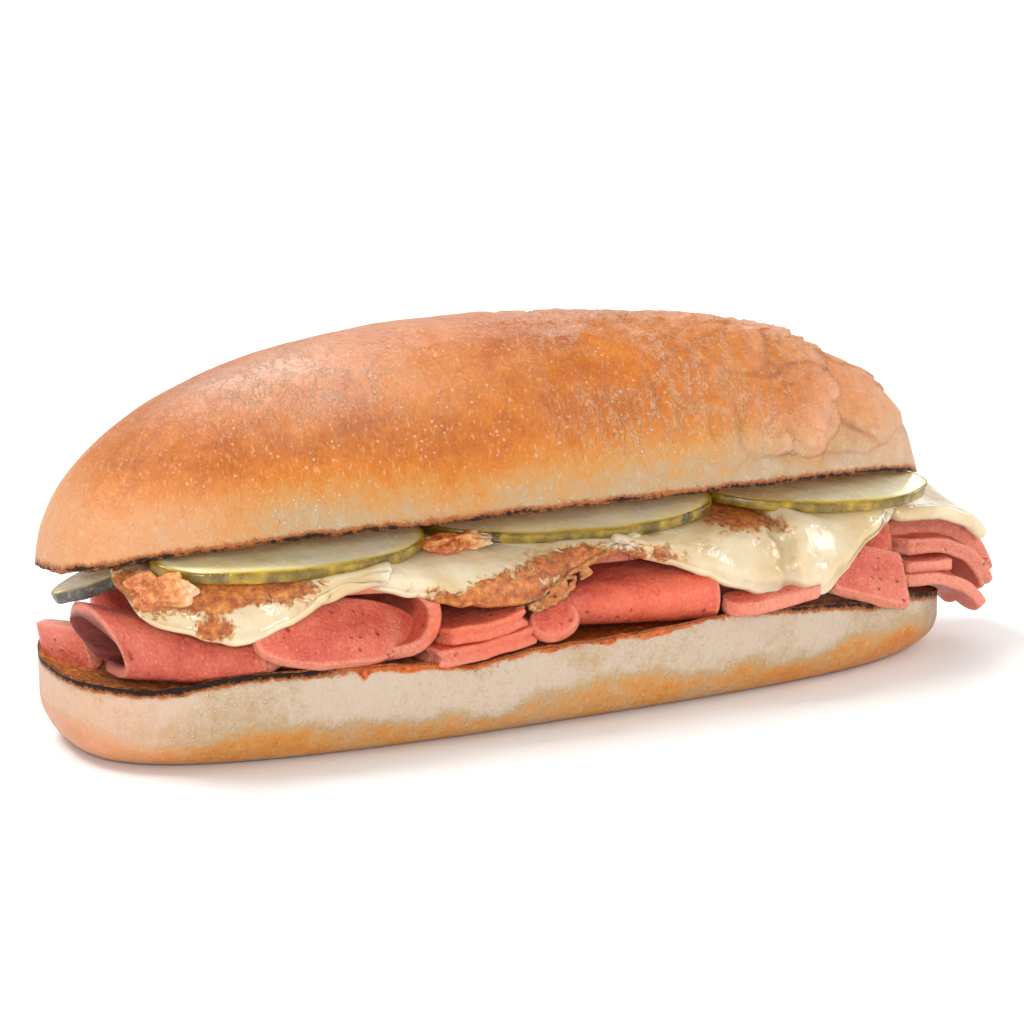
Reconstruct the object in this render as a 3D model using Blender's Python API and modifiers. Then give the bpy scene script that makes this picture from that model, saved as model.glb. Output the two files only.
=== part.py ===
"""Hot submarine sandwich: a long soft roll, cut lengthways, filled with folded salami,
melted cheese and long slices of pickled gherkin.

Metres, +Z up, +X along the roll. The origin is the centre of the roll's flat base.
Every slice is a flat disc or strip that is bent along a fold and given its thickness.
"""

import math
from collections import namedtuple

import bmesh
import bpy
import numpy as np
from mathutils import Matrix, Vector

MM = 0.001

# The roll. Both halves have the plan of a superellipse.
HEEL_LENGTH = 238.6 * MM
HEEL_WIDTH = 81.4 * MM
HEEL_HEIGHT = 21.6 * MM
HEEL_PLAN = 2.93
HEEL_BASE_INSET = 10 * MM
HEEL_WALL_SHARE = 0.6
HEEL_DISH = 3.2 * MM
HEEL_END_DROOP = (0.4 * MM, 8.6 * MM)
# Waves of the cut edge along the front: place along the roll, height, half-width.
HEEL_RIM_WAVES = (
    (-102 * MM, -2.4 * MM, 13 * MM),
    (-62 * MM, 0.9 * MM, 17 * MM),
    (-31 * MM, -2.2 * MM, 9 * MM),
    (42 * MM, 1.4 * MM, 20 * MM),
    (84 * MM, -1.4 * MM, 9 * MM),
)
BACK_WAVE_SHARE = 0.3

LID_LENGTH = 232 * MM
LID_WIDTH = 74 * MM
LID_DOME = 45 * MM
LID_PLAN = 2.9
LID_FULLNESS = 0.89
LID_HOLLOW = 4.5 * MM
LID_END_DROOP = 4.8 * MM
LID_TILT = math.radians(7)
LID_CENTRE = Vector((-3.6, 0, 48.8)) * MM

BUN_SEGMENTS = 48
HEEL_RINGS = 12
LID_RINGS = 14

SALAMI_THICKNESS = 3.2 * MM
CHEESE_THICKNESS = 2.6 * MM
PICKLE_THICKNESS = 3.2 * MM

# A slice lies along its path before it is placed: fold holds (length, turn) arcs in
# millimetres and degrees, width lies across the path, roundness goes from 0 for a
# rectangle to 1 for an ellipse, taper widens the fold towards +width, and slant leans the
# whole fold sideways. Turn, pitch and roll place it, and centre is that of its box.
Slice = namedtuple("Slice", "name fold width centre turn pitch roll roundness taper slant grid",
                   defaults=(0, 0, 0, 0.8, 0, 0, (12, 4)))

SALAMI = (
    Slice("salami_far_left", [(15, 10)], 8, (-114.2, 5, 26.4), turn=-77, pitch=8, roll=-72,
          roundness=0.3, grid=(8, 3)),
    Slice("salami_roll_left", [(6, 0), (19, 175), (6, 0), (16, 108)], 30, (-98, -18.8, 29.6),
          turn=-103, taper=0.06, slant=26, roundness=0.35, grid=(18, 4)),
    Slice("salami_strip_left", [(28, 8)], 9.5, (-77.4, -20.5, 26.7), turn=90, pitch=3, roll=-24,
          roundness=0.2, grid=(6, 3)),
    Slice("salami_fold_left", [(33, 6), (22, 172), (22, 8)], 54, (-59.3, -10.5, 30.9), grid=(18, 4)),
    Slice("salami_flap_left", [(28, -12)], 8.4, (-60, -32, 31.1), pitch=-1, roll=56,
          roundness=0.3, grid=(7, 3)),
    Slice("salami_upright_left", [(16, 20)], 9, (-27, -12.5, 28.5), roll=72, roundness=0.4, grid=(7, 3)),
    Slice("salami_strip_lower", [(26, 10)], 20, (-27.5, -31, 23.8), pitch=1, roundness=0.35,
          grid=(8, 4)),
    Slice("salami_strip_upper", [(20, 8)], 18, (-26.5, -32, 28), pitch=4, roundness=0.35,
          grid=(8, 4)),
    Slice("salami_wedge", [(11, 30)], 8, (-9.6, -39.5, 27.2), roll=42, roundness=0.95, grid=(6, 4)),
    Slice("salami_fold_middle", [(24, -6), (12, -168), (24, -6)], 41, (14.8, -22.3, 27.6), turn=-90,
          taper=0.24, roundness=0.3, grid=(18, 4)),
    Slice("salami_over_middle", [(10, 0), (12, -44), (30, -2)], 34, (7.6, -12, 32.2), pitch=44,
          roundness=0.5, grid=(12, 4)),
    Slice("salami_fold_behind", [(20, 0), (13, -170), (20, 0)], 34, (57, -13, 26.2), turn=-90,
          roundness=0.3, grid=(14, 3)),
    Slice("salami_tongue", [(26, 4)], 8, (51, -39.2, 25.8), pitch=2, roll=10, roundness=0.6,
          grid=(7, 3)),
    Slice("salami_wedge_right", [(23, 8)], 15, (82.4, -32.8, 26.3), pitch=-20, roll=46, roundness=0.15,
          grid=(6, 3)),
    Slice("salami_upright_right", [(18, -10)], 12, (88, -21.5, 29), roll=80, roundness=0.2,
          grid=(6, 3)),
    Slice("salami_block_right", [(13, 0)], 10, (106.5, -21.5, 23.8), pitch=-4, roundness=0.1,
          grid=(3, 3)),
    Slice("salami_end_top", [(12, 0), (30, -75)], 24, (115, -6, 23.1), roundness=0.5, grid=(12, 3)),
    Slice("salami_end_middle", [(8, 0), (26, -70)], 15, (113, -17, 21), roundness=0.5,
          grid=(12, 3)),
    Slice("salami_end_lower", [(8, 0), (22, -60)], 12, (109.5, -23, 15.3), roundness=0.5,
          grid=(12, 3)),
    Slice("salami_end_hanging", [(12, -8), (18, -62)], 12, (116, -4.6, 12.9), roundness=0.5,
          grid=(9, 3)),
    Slice("salami_back_1", [(14, 0), (16, -168), (14, 0)], 30, (-85, 21, 29.4), turn=72,
          roundness=0.4),
    Slice("salami_back_2", [(12, 0), (15, -168), (14, 0)], 34, (-49.5, 28.6, 29), turn=86,
          taper=-0.12, roundness=0.3),
    Slice("salami_back_3", [(30, 6), (20, 172), (16, 8)], 25, (-9, 26.5, 29.8), turn=176, pitch=1,
          roundness=0.5),
    Slice("salami_back_4", [(18, 0), (15, -168), (18, 0)], 34, (30, 26, 29.2), turn=94,
          taper=0.1, roundness=0.35),
    Slice("salami_back_5", [(15, 0), (16, -168), (12, 0)], 26, (85.5, 16.5, 29.4), turn=112,
          roundness=0.4),
    Slice("salami_back_lower", [(27, 8)], 14, (61, 31.5, 24.6), pitch=-1, roll=-5, roundness=0.4,
          grid=(6, 3)),
    Slice("salami_back_upper", [(21, -10)], 16, (58.6, 28.6, 29.6), pitch=3, roll=-7, roundness=0.5,
          grid=(6, 3)),
)

CHEESE = (
    Slice("cheese_left", [(10, -28), (42, -2), (12, -42), (11, -12)], 47, (-80, -4.4, 37.1), turn=-104,
          pitch=28, roll=4, slant=-10, roundness=0.85, grid=(14, 5)),
    Slice("cheese_centre", [(10, -28), (47, 0), (11, -40), (9, -14)], 62, (-20.5, -1.4, 38.5),
          turn=-90, pitch=28, slant=6, roundness=1, grid=(14, 5)),
    Slice("cheese_right", [(10, -28), (43, 0), (12, -46), (12, -14)], 77, (55, -1, 36.3), turn=-90,
          pitch=28, slant=10, roundness=1, grid=(14, 6)),
    Slice("cheese_far_right", [(12, 0), (26, -60)], 28, (112, -10.5, 34.8), roll=12, roundness=0.7,
          grid=(10, 4)),
)

PICKLES = (
    Slice("pickle_far_left", [(19, -8)], 10.5, (-110, -7, 43.6), turn=-52, pitch=24, roundness=0.9,
          grid=(8, 4)),
    Slice("pickle_left", [(66, 4)], 25, (-69, -23.9, 47.3), pitch=-2, roll=10.5, roundness=0.9,
          grid=(8, 4)),
    Slice("pickle_centre", [(76, 5)], 27, (3, -20, 48), turn=-8, pitch=-3, roll=13, roundness=1,
          grid=(8, 4)),
    Slice("pickle_right", [(62, 4)], 25, (74, -20.6, 46.8), turn=-8, pitch=-5, roll=11, roundness=1,
          grid=(8, 4)),
)

# Crumpled bits of fried cheese on the sheets: name, size and centre in millimetres.
CRISPS = (
    ("crisp_left", (15, 6, 8.5), (-104.5, -32.6, 45.2)),
    ("crisp_centre", (15, 7, 4.6), (-29.8, -29.5, 46.4)),
)
CRISP_SEGMENTS = 14
CRISP_RINGS = 8
CRISP_CRUMPLE = 0.16


def clear_scene():
    for item in list(bpy.data.objects):
        bpy.data.objects.remove(item, do_unlink=True)


def make_material(name, colour, roughness):
    """One Principled material, kept in the file under the part's own name."""
    material = bpy.data.materials.new(name)
    material.use_nodes = True
    shader = material.node_tree.nodes["Principled BSDF"]
    shader.inputs["Base Color"].default_value = (*colour, 1)
    shader.inputs["Roughness"].default_value = roughness
    shader.inputs["Metallic"].default_value = 0
    return material


def add_part(name, mesh, material):
    """The named object of one piece, in the sandwich's collection."""
    part = bpy.data.objects.new(name, mesh)
    part.data.materials.append(material)
    bpy.data.collections["submarine_sandwich"].objects.link(part)
    return part


def plan_point(share, half_length, half_width, power):
    """Point of a superellipse at a share of its way round, even along its length."""
    angles = np.linspace(0, 2 * math.pi, 721)
    x = half_length * np.sign(np.cos(angles)) * np.abs(np.cos(angles)) ** (2 / power)
    y = half_width * np.sign(np.sin(angles)) * np.abs(np.sin(angles)) ** (2 / power)
    way = np.concatenate(([0], np.cumsum(np.hypot(np.diff(x), np.diff(y)))))
    place = share * way[-1]
    return np.interp(place, way, x), np.interp(place, way, y)


def rim_wave(x, side):
    """Height of the cut edge's waves at a place: full along the front, faint along the back."""
    height = sum(rise * math.exp(-((x - place) / spread) ** 2)
                 for place, rise, spread in HEEL_RIM_WAVES)
    front_share = (1 - side) / 2
    return height * (BACK_WAVE_SHARE + (1 - BACK_WAVE_SHARE) * front_share)


def heel_point(share, latitude):
    """Surface point of the heel: latitude 90 is the middle of its cut face, -90 of its base."""
    x, y = plan_point(share, HEEL_LENGTH / 2, HEEL_WIDTH / 2, HEEL_PLAN)
    end = abs(x) / (HEEL_LENGTH / 2)
    droop = HEEL_END_DROOP[1 if x > 0 else 0] * end ** 5
    rim = HEEL_HEIGHT - droop + rim_wave(x, y / (HEEL_WIDTH / 2))
    if latitude >= 0:
        radius = math.cos(latitude)
        level = HEEL_HEIGHT - HEEL_DISH + (rim - HEEL_HEIGHT + HEEL_DISH) * radius ** 4
        return Vector((x * radius, y * radius, level))
    depth = -latitude / (math.pi / 4)
    level = rim * (1 - min(depth, 1))
    low = max(0, 1 - level / (rim * HEEL_WALL_SHARE))
    inset = HEEL_BASE_INSET * (1 - math.sqrt(max(0, 1 - low ** 2)))
    radius = 1 if depth <= 1 else max(0, 2 - depth)
    shrink = Vector((1 - inset / (HEEL_LENGTH / 2), 1 - inset / (HEEL_WIDTH / 2))) * radius
    return Vector((x * shrink.x, y * shrink.y, level))


def lid_point(share, latitude):
    """Surface point of the lid: latitude 90 is its top, -90 the middle of its underside."""
    x, y = plan_point(share, LID_LENGTH / 2, LID_WIDTH / 2, LID_PLAN)
    radius = max(0, math.cos(latitude))
    droop = LID_END_DROOP * (abs(x) / (LID_LENGTH / 2)) ** 5
    if latitude >= 0:
        radius = radius ** LID_FULLNESS
        height = LID_DOME * math.sin(latitude) - droop * (1 - math.sin(latitude))
    else:
        height = LID_HOLLOW * (1 - radius ** 4) - droop * radius ** 4
    point = Vector((x * radius, y * radius, height))
    return Matrix.Rotation(-LID_TILT, 3, "X") @ point + LID_CENTRE


def add_bun(name, rings, surface_point, material):
    """Half of the roll: a sphere whose points move to the half's own surface."""
    bm = bmesh.new()
    bmesh.ops.create_uvsphere(bm, u_segments=BUN_SEGMENTS, v_segments=rings, radius=1)
    for vert in bm.verts:
        share = (math.atan2(vert.co.y, vert.co.x) / (2 * math.pi)) % 1
        latitude = math.asin(max(-1, min(1, vert.co.z)))
        vert.co = surface_point(share, latitude)
    mesh = bpy.data.meshes.new(name)
    bm.to_mesh(mesh)
    bm.free()
    mesh.shade_smooth()
    return add_part(name, mesh, material)


def fold_path(fold, steps=96):
    """Way along a fold and its points: (length, turn) arcs joined end to end."""
    lengths = np.array([length for length, turn in fold]) * MM
    turns = np.radians([turn for length, turn in fold])
    ends = np.concatenate(([0], np.cumsum(lengths)))
    way = np.linspace(0, ends[-1], steps + 1)
    heading = np.interp(way, ends, np.concatenate(([0], np.cumsum(turns))))
    middle = (heading[1:] + heading[:-1]) / 2
    step = ends[-1] / steps
    along = np.concatenate(([0], np.cumsum(np.cos(middle) * step)))
    up = np.concatenate(([0], np.cumsum(np.sin(middle) * step)))
    return way, along, up


def add_slice(piece, thickness, material):
    """A thin slice: a grid drawn in to its outline, bent along its fold, made thick."""
    columns, rows = piece.grid
    way, along, up = fold_path(piece.fold)
    middle = Vector(((along.min() + along.max()) / 2, 0, (up.min() + up.max()) / 2))
    bm = bmesh.new()
    bmesh.ops.create_grid(bm, x_segments=columns, y_segments=rows, size=1)
    for vert in bm.verts:
        s, t = vert.co.x, vert.co.y
        u = s * math.sqrt(1 - piece.roundness * t * t / 2)
        v = t * math.sqrt(1 - piece.roundness * s * s / 2)
        place = way[-1] * (u + 1) / 2
        point = Vector((np.interp(place, way, along), 0, np.interp(place, way, up)))
        vert.co = middle + (point - middle) * (1 + piece.taper * v)
        vert.co.y = v * piece.width * MM / 2 + (point.x - middle.x) * math.tan(math.radians(piece.slant))
    turn = (Matrix.Rotation(math.radians(piece.turn), 4, "Z")
            @ Matrix.Rotation(math.radians(-piece.pitch), 4, "Y")
            @ Matrix.Rotation(math.radians(piece.roll), 4, "X"))
    bm.transform(turn)
    low = Vector(min(vert.co[axis] for vert in bm.verts) for axis in range(3))
    high = Vector(max(vert.co[axis] for vert in bm.verts) for axis in range(3))
    bmesh.ops.translate(bm, verts=bm.verts, vec=-(low + high) / 2)
    mesh = bpy.data.meshes.new(piece.name)
    bm.to_mesh(mesh)
    bm.free()
    mesh.shade_smooth()
    part = add_part(piece.name, mesh, material)
    part.location = Vector(piece.centre) * MM
    solid = part.modifiers.new("thickness", "SOLIDIFY")
    solid.thickness = thickness
    solid.offset = 0
    solid.use_even_offset = True
    return part


def add_crisp(name, size, centre, material):
    """A crumpled lump: a sphere drawn out to its size, with ripples in its radius."""
    bm = bmesh.new()
    bmesh.ops.create_uvsphere(bm, u_segments=CRISP_SEGMENTS, v_segments=CRISP_RINGS, radius=0.5)
    for vert in bm.verts:
        x, y, z = vert.co * 2
        ripple = math.sin(4.1 * x + 2 * z) * math.sin(3.3 * y - 2.6 * x + 1) + 0.5 * math.sin(5 * z + x)
        vert.co *= 1 + CRISP_CRUMPLE * ripple
        vert.co = Vector(value * extent * MM for value, extent in zip(vert.co, size))
    mesh = bpy.data.meshes.new(name)
    bm.to_mesh(mesh)
    bm.free()
    mesh.shade_smooth()
    part = add_part(name, mesh, material)
    part.location = Vector(centre) * MM
    return part


def build():
    clear_scene()
    parts = bpy.data.collections.new("submarine_sandwich")
    bpy.context.scene.collection.children.link(parts)
    crust = make_material("crust", (0.62, 0.30, 0.12), 0.45)
    salami = make_material("salami", (0.62, 0.12, 0.08), 0.4)
    cheese = make_material("cheese", (0.85, 0.72, 0.48), 0.3)
    pickle = make_material("pickle", (0.62, 0.56, 0.18), 0.25)
    crisp = make_material("crisp", (0.45, 0.15, 0.04), 0.4)
    add_bun("bun_bottom", HEEL_RINGS, heel_point, crust)
    add_bun("bun_top", LID_RINGS, lid_point, crust)
    for piece in SALAMI:
        add_slice(piece, SALAMI_THICKNESS, salami)
    for piece in CHEESE:
        add_slice(piece, CHEESE_THICKNESS, cheese)
    for piece in PICKLES:
        add_slice(piece, PICKLE_THICKNESS, pickle)
    for name, size, centre in CRISPS:
        add_crisp(name, size, centre, crisp)


build()
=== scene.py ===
"""Looks of the hot submarine sandwich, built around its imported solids.

Every piece is a closed body made from two grids of points with one outline, an upper and a
lower one, and rounded rings between them. Shapes are worked out in millimetres; meshes are
in metres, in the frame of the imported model.
"""

import itertools
import math
from collections import namedtuple

import bpy
import numpy as np
from mathutils import Matrix, Vector


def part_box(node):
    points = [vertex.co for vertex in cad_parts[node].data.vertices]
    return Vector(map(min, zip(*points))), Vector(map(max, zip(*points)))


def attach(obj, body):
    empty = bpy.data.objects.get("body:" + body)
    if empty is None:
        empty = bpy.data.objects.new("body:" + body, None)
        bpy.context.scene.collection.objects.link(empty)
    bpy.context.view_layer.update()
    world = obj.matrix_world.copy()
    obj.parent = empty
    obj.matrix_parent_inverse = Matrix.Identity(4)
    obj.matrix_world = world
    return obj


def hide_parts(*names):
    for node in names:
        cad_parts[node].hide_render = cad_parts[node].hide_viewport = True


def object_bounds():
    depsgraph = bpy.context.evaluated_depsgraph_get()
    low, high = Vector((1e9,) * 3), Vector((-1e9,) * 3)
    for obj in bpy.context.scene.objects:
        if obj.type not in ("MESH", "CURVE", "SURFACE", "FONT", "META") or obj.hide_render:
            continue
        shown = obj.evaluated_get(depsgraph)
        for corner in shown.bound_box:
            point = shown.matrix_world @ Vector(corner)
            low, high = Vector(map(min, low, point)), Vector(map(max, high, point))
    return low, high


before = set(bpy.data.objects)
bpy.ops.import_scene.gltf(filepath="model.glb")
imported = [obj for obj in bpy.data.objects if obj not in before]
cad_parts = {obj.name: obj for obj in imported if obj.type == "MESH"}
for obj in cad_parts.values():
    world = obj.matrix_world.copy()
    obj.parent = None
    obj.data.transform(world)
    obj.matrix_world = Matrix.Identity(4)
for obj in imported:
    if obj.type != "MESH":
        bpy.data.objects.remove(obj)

CAD_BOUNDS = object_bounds()
MM = 0.001
BODY = "root"
PIECES = bpy.data.collections.new("submarine_sandwich_looks")
bpy.context.scene.collection.children.link(PIECES)


# Noise

TABLE_SIZE = 1024
LATTICE = np.random.default_rng(7).permutation(TABLE_SIZE)
VALUES = np.random.default_rng(8).uniform(-1, 1, TABLE_SIZE)


def noise(points, size, seed=0):
    """Smooth noise from -1 to 1 at each point, with lumps as large as size."""
    spots = np.asarray(points, float) / size + 17.3 * seed
    cell = np.floor(spots).astype(int)
    part = spots - cell
    fade = part * part * (3 - 2 * part)
    total = np.zeros(spots.shape[:-1])
    for corner in itertools.product((0, 1), repeat=3):
        weight = np.prod(np.where(corner, fade, 1 - fade), axis=-1)
        near = cell + np.array(corner)
        index = 0
        for axis in range(3):
            index = LATTICE[(index + near[..., axis]) % TABLE_SIZE]
        total += weight * VALUES[index]
    return total


def rough_noise(points, size, octaves, seed=0):
    """Noise with finer and weaker noise added to it."""
    parts = [noise(points, size / 2 ** level, seed + level) / 2 ** level for level in range(octaves)]
    return sum(parts) / (2 - 2 ** (1 - octaves))


def rise(value, low, high):
    """0 below low, 1 above high, smooth between; high may be the smaller one."""
    share = np.clip((np.asarray(value, float) - low) / (high - low), 0, 1)
    return share * share * (3 - 2 * share)


def bell(value, middle, spread):
    """1 at middle, falling away smoothly over spread."""
    return np.exp(-((np.asarray(value, float) - middle) / spread) ** 2)


def patch(x, y, middle, spread):
    """1 at one place of a surface, falling away smoothly around it."""
    return bell(x, middle[0], spread[0]) * bell(y, middle[1], spread[1])


# Meshes

def grid(columns, rows):
    """Even grid over the square from -1 to 1."""
    return np.meshgrid(np.linspace(-1, 1, columns), np.linspace(-1, 1, rows))


def border(columns, rows):
    """Indices of a grid's outer points, in order round it."""
    index = np.arange(columns * rows).reshape(rows, columns)
    return np.concatenate((index[0, :-1], index[:-1, -1], index[-1, :0:-1], index[:0:-1, 0]))


def unit(vectors):
    return vectors / np.maximum(np.linalg.norm(vectors, axis=-1, keepdims=True), 1e-12)


def grid_normals(points):
    """Upward normals of a grid of points."""
    along = np.gradient(points, axis=1)
    across = np.gradient(points, axis=0)
    return unit(np.cross(along, across))


def ring_faces(first, second):
    """Quads between two closed rings of point indices."""
    return np.stack((first, second, np.roll(second, -1), np.roll(first, -1)), axis=1)


def closed_mesh(name, top, bottom, rings, marks):
    """A closed body: top and bottom grids and the rings between their borders.

    marks maps an attribute's name to its values on top, on bottom and on each ring.
    """
    rows, columns = top.shape[:2]
    index = np.arange(rows * columns).reshape(rows, columns)
    quads = np.stack((index[:-1, :-1], index[:-1, 1:], index[1:, 1:], index[1:, :-1]), axis=-1)
    quads = quads.reshape(-1, 4)
    edge = border(columns, rows)
    faces = [quads, quads[:, ::-1] + rows * columns]
    last = edge
    start = 2 * rows * columns
    for ring in rings:
        place = start + np.arange(len(edge))
        faces.append(ring_faces(last, place))
        last = place
        start += len(edge)
    faces.append(ring_faces(last, edge + rows * columns))
    points = np.concatenate([top.reshape(-1, 3), bottom.reshape(-1, 3), *rings])
    mesh = bpy.data.meshes.new(name)
    mesh.from_pydata(points.tolist(), [], np.concatenate(faces).tolist())
    for mark, (on_top, on_bottom, on_rings) in marks.items():
        values = [np.asarray(on_top, float), np.asarray(on_bottom, float), *on_rings]
        add_mark(mesh, mark, values)
    mesh.shade_smooth()
    return mesh


def add_mark(mesh, mark, values):
    """A named attribute with a number or a vector for each point."""
    vector = values[0].ndim == 3
    kind, field = ("FLOAT_VECTOR", "vector") if vector else ("FLOAT", "value")
    flat = np.concatenate([value.reshape(-1, 3) if vector else value.reshape(-1) for value in values])
    layer = mesh.attributes.new(mark, kind, "POINT")
    layer.data.foreach_set(field, flat.astype(np.float32).ravel())


def add_piece(name, mesh, material, node):
    """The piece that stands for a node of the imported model."""
    piece = bpy.data.objects.new(name, mesh)
    PIECES.objects.link(piece)
    mesh.materials.append(material)
    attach(piece, BODY)
    if node:
        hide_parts(node)
    return piece


# Material nodes

class Shader:
    """A Principled material and short ways to add nodes to it."""

    def __init__(self, name, **constants):
        self.material = bpy.data.materials.new(name)
        self.material.use_nodes = True
        self.tree = self.material.node_tree
        self.surface = self.tree.nodes["Principled BSDF"]
        for socket, value in constants.items():
            self.surface.inputs[socket.replace("_", " ")].default_value = value
        self.place = self.tree.nodes.new("ShaderNodeTexCoord").outputs["Object"]

    def node(self, kind, **settings):
        item = self.tree.nodes.new("ShaderNode" + kind)
        for key, value in settings.items():
            setattr(item, key, value)
        return item

    def put(self, socket, value):
        """Join a socket to another, or set its own value."""
        if isinstance(value, bpy.types.NodeSocket):
            self.tree.links.new(value, socket)
        elif isinstance(value, tuple) and len(value) == 3 and socket.type == "RGBA":
            socket.default_value = (*value, 1)
        else:
            socket.default_value = value

    def mark(self, name, output="Fac"):
        return self.node("Attribute", attribute_name=name).outputs[output]

    def math(self, operation, first, second=0.0, clamp=False):
        item = self.node("Math", operation=operation, use_clamp=clamp)
        self.put(item.inputs[0], first)
        self.put(item.inputs[1], second)
        return item.outputs[0]

    def add(self, first, second):
        return self.math("ADD", first, second)

    def times(self, first, second):
        return self.math("MULTIPLY", first, second)

    def stretch(self, vector, scale):
        item = self.node("VectorMath", operation="MULTIPLY")
        self.put(item.inputs[0], vector)
        item.inputs[1].default_value = scale
        return item.outputs[0]

    def shift(self, vector, offset):
        item = self.node("VectorMath", operation="ADD")
        self.put(item.inputs[0], vector)
        self.put(item.inputs[1], offset)
        return item.outputs[0]

    def noise(self, size, detail=3, roughness=0.5, vector=None, distortion=0.0):
        """Noise from 0 to 1 with lumps of that size, in the units of the vector."""
        item = self.node("TexNoise")
        self.put(item.inputs["Vector"], vector or self.place)
        item.inputs["Scale"].default_value = 1 / size
        item.inputs["Detail"].default_value = detail
        item.inputs["Roughness"].default_value = roughness
        item.inputs["Distortion"].default_value = distortion
        return item.outputs["Fac"]

    def cells(self, size, vector=None, feature="F1", randomness=1.0):
        """Distance to the nearest of scattered points, in shares of size."""
        item = self.node("TexVoronoi", feature=feature)
        self.put(item.inputs["Vector"], vector or self.place)
        item.inputs["Scale"].default_value = 1 / size
        item.inputs["Randomness"].default_value = randomness
        return item

    def ramp(self, factor, low, high, start=0.0, end=1.0):
        """Smooth step of a number, from start at low to end at high."""
        item = self.node("MapRange", interpolation_type="SMOOTHSTEP")
        self.put(item.inputs["Value"], factor)
        item.inputs["From Min"].default_value = low
        item.inputs["From Max"].default_value = high
        item.inputs["To Min"].default_value = start
        item.inputs["To Max"].default_value = end
        return item.outputs["Result"]

    def colours(self, factor, *stops):
        """Colour ramp of (place, colour) stops."""
        item = self.node("ValToRGB")
        self.put(item.inputs["Fac"], factor)
        elements = item.color_ramp.elements
        while len(elements) < len(stops):
            elements.new(0.5)
        for element, (place, colour) in zip(elements, stops):
            element.position = place
            element.color = (*colour, 1)
        return item.outputs["Color"]

    def mix(self, factor, first, second, blend="MIX"):
        item = self.node("Mix", data_type="RGBA", blend_type=blend, clamp_factor=True)
        self.put(item.inputs["Factor"], factor)
        self.put(item.inputs[6], first)
        self.put(item.inputs[7], second)
        return item.outputs[2]

    def bump(self, height, depth, normal=None, strength=1.0):
        """Bump as deep as depth, in metres, where height goes from 0 to 1."""
        item = self.node("Bump")
        item.inputs["Strength"].default_value = strength
        item.inputs["Distance"].default_value = depth
        self.put(item.inputs["Height"], height)
        if normal is not None:
            self.put(item.inputs["Normal"], normal)
        return item.outputs["Normal"]

    def finish(self, colour, roughness, normal):
        self.put(self.surface.inputs["Base Color"], colour)
        self.put(self.surface.inputs["Roughness"], roughness)
        self.put(self.surface.inputs["Normal"], normal)
        self.put(self.surface.inputs["Coat Normal"], normal)
        return self.material


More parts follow.
